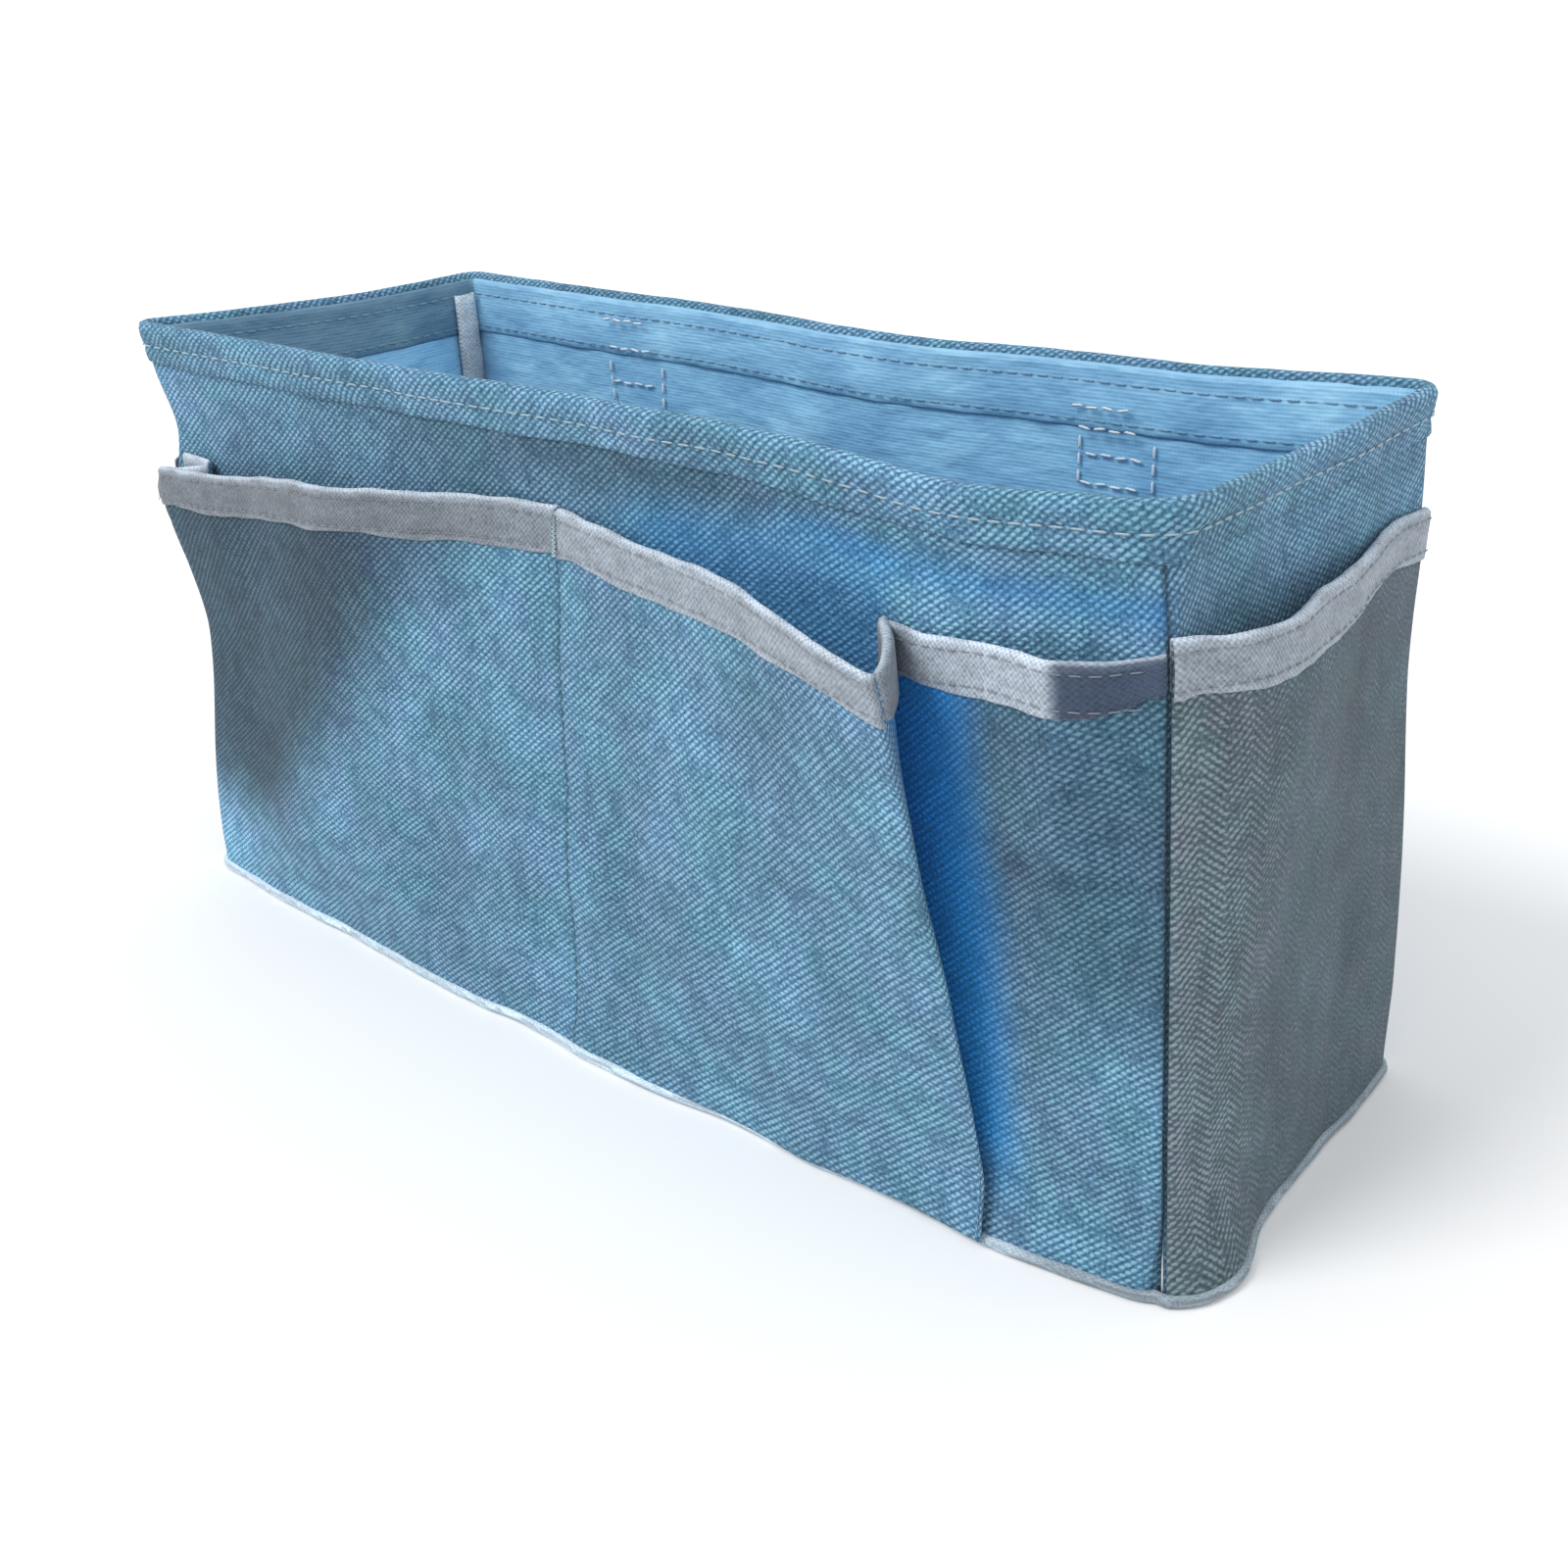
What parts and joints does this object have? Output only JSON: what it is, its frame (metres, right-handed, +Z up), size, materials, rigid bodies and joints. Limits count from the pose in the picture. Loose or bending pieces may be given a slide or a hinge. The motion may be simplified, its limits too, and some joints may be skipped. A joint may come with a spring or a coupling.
{
  "type": "tool organizer",
  "caption": "Open rectangular fabric organizer with stiffened walls, tape-bound patch pockets on the front and both ends, a pleated middle pocket, back strap loops and a loose base board.",
  "frame": {"origin": "centre of the underside, on the surface that it stands on", "axes": "+X to the right along the length, +Y to the back wall with the strap loops, +Z up; the pleated pocket is on the front, -Y, to the right"},
  "size_m": [0.3202, 0.1392, 0.152],
  "materials": {
    "woven_cloth": "coarse twill-woven blue polyester, heathered light and dark, matt",
    "lining_cloth": "smooth coated blue lining with a soft sheen",
    "bias_tape": "folded light grey bias tape, stitched near its edge",
    "piping_cloth": "light blue folded seam edge",
    "webbing": "blue ribbed webbing",
    "foam_board": "white closed-cell foam sheet",
    "base_board": "blue-grey polypropylene board with a fine grain"
  },
  "bodies": {
    "organizer": {"front_outer_panel": "woven_cloth", "front_stiffener": "foam_board", "front_lining": "lining_cloth", "front_rim_hem": "woven_cloth", "right_outer_panel": "woven_cloth", "right_stiffener": "foam_board", "right_lining": "lining_cloth", "right_rim_hem": "woven_cloth", "back_outer_panel": "woven_cloth", "back_stiffener": "foam_board", "back_lining": "lining_cloth", "back_rim_hem": "woven_cloth", "left_outer_panel": "woven_cloth", "left_stiffener": "foam_board", "left_lining": "lining_cloth", "left_rim_hem": "woven_cloth", "base_outer_panel": "woven_cloth", "base_lining": "lining_cloth", "floor_seam_binding": "bias_tape", "base_piping": "piping_cloth", "front_right_corner_binding": "bias_tape", "back_right_corner_binding": "bias_tape", "back_left_corner_binding": "bias_tape", "front_left_corner_binding": "bias_tape", "front_left_pocket": "woven_cloth", "front_left_pocket_binding": "bias_tape", "front_middle_pocket": "woven_cloth", "front_middle_pocket_binding": "bias_tape", "front_middle_gusset": "woven_cloth", "front_middle_gusset_binding": "bias_tape", "front_right_pocket": "woven_cloth", "front_right_pocket_binding": "bias_tape", "right_end_pocket": "woven_cloth", "right_end_pocket_binding": "bias_tape", "left_end_pocket": "woven_cloth", "left_end_pocket_binding": "bias_tape", "hang_loop_left": "webbing", "hang_loop_right": "webbing"},
    "loose_board": {"base_board": "base_board"}
  },
  "joints": [
    {"name": "base_board_lift", "type": "slide", "parent": "organizer", "child": "loose_board", "axis": [0, 0, 1], "range_m": [0, 0.16]}
  ]
}
